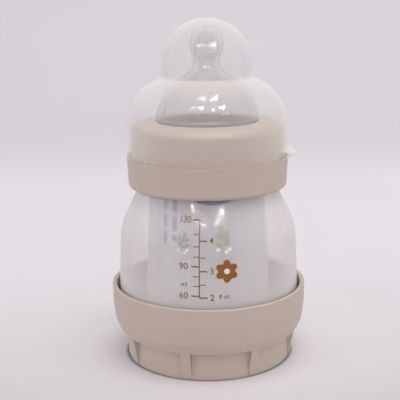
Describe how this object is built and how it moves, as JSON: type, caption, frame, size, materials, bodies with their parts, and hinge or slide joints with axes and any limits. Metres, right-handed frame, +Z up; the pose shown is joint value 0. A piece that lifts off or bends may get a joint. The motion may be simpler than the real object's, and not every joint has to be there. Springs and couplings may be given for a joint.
{
  "type": "baby bottle",
  "caption": "Small clear baby bottle with a vented screw-on base, a screw ring clamping a flattened silicone teat, and a clear two-tier push-on cap.",
  "frame": {"origin": "on the bottle's axis at the underside of the base, where it stands", "axes": "+Z up the bottle's axis; the front with the printed scale faces -Y; the cap's lift tab points to +X"},
  "size_m": [0.0698, 0.0698, 0.1203],
  "materials": {
    "clear_plastic": "clear moulded polypropylene",
    "beige_plastic": "satin moulded polypropylene",
    "silicone": "translucent matt silicone",
    "milky_plastic": "natural translucent polypropylene",
    "white_paper": "thin coated paper"
  },
  "bodies": {
    "bottle": {"bottle_body": "clear_plastic", "sealing_disc": "milky_plastic"},
    "valve": {"vent_valve": "silicone", "rolled_leaflet": "white_paper"},
    "base": {"base_cup": "beige_plastic"},
    "teat": {"teat": "silicone"},
    "ring": {"screw_ring": "beige_plastic"},
    "cap": {"protective_cap": "clear_plastic"}
  },
  "joints": [
    {"name": "base_drop", "type": "slide", "parent": "bottle", "child": "valve", "axis": [0, 0, -1], "range_m": [0, 0.0063]},
    {"name": "base_unscrew", "type": "hinge", "parent": "valve", "child": "base", "pos_m": [0, 0, 0.0134], "axis": [0, 0, -1], "range_deg": [0, 450]},
    {"name": "ring_lift", "type": "slide", "parent": "bottle", "child": "teat", "axis": [0, 0, 1], "range_m": [0, 0.0063]},
    {"name": "ring_unscrew", "type": "hinge", "parent": "teat", "child": "ring", "pos_m": [0, 0, 0.073], "axis": [0, 0, 1], "range_deg": [0, 450]},
    {"name": "cap_pull", "type": "slide", "parent": "ring", "child": "cap", "axis": [0, 0, 1], "range_m": [0, 0.055]}
  ],
  "couplings": [
    {"joint": "base_drop", "follows": "base_unscrew", "m_per_rad": 0.00079577},
    {"joint": "ring_lift", "follows": "ring_unscrew", "m_per_rad": 0.00079577}
  ]
}
